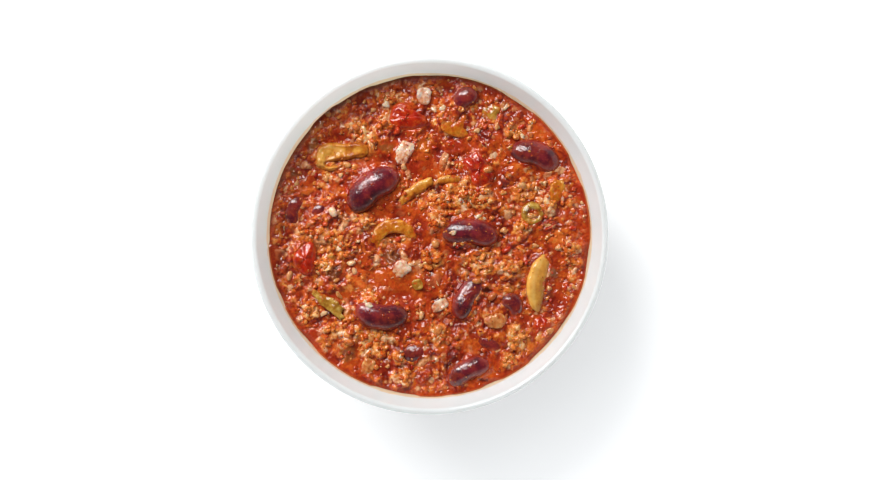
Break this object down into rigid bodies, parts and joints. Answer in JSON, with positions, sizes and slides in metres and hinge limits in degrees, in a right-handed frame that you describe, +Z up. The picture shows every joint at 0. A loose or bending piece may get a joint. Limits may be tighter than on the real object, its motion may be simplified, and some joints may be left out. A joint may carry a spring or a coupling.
{
  "type": "bowl of chili con carne",
  "caption": "Round white porcelain bowl on a foot ring, filled with chili con carne: thick red sauce with minced beef, kidney beans, tomato, mushroom, onion and green pepper.",
  "frame": {"origin": "middle of the foot ring's resting face, on the surface that the bowl stands on", "axes": "+Z up along the bowl's axis, +Y towards the top of the picture, +X to its right"},
  "size_m": [0.115, 0.115, 0.056],
  "materials": {
    "porcelain": "plain white glossy glaze",
    "sauce": "wet orange-red sauce, grainy with minced beef and fat",
    "kidney_bean": "wet, dark purple-red bean skin",
    "tomato": "wet, bright red and slightly clear",
    "mushroom": "satin golden brown, stained by the sauce",
    "onion": "wet, pale golden and slightly clear",
    "green_pepper": "wet olive green skin"
  },
  "bodies": {
    "root": {"bowl": "porcelain", "stew": "sauce", "kidney_bean_01": "kidney_bean", "kidney_bean_02": "kidney_bean", "kidney_bean_03": "kidney_bean", "kidney_bean_04": "kidney_bean", "kidney_bean_05": "kidney_bean", "kidney_bean_06": "kidney_bean", "kidney_bean_07": "kidney_bean", "kidney_bean_08": "kidney_bean", "kidney_bean_09": "kidney_bean", "kidney_bean_10": "kidney_bean", "kidney_bean_11": "kidney_bean", "kidney_bean_12": "kidney_bean", "kidney_bean_13": "kidney_bean", "kidney_bean_14": "kidney_bean", "tomato_01": "tomato", "tomato_02": "tomato", "tomato_03": "tomato", "tomato_04": "tomato", "tomato_05": "tomato", "mushroom_01": "mushroom", "mushroom_02": "mushroom", "mushroom_03": "mushroom", "mushroom_04": "mushroom", "onion_01": "onion", "onion_02": "onion", "onion_03": "onion", "onion_04": "onion", "onion_05": "onion", "onion_06": "onion", "onion_07": "onion", "onion_08": "onion", "onion_09": "onion", "onion_10": "onion", "green_pepper_01": "green_pepper", "green_pepper_02": "green_pepper", "green_pepper_03": "green_pepper", "green_pepper_04": "green_pepper"}
  },
  "joints": []
}
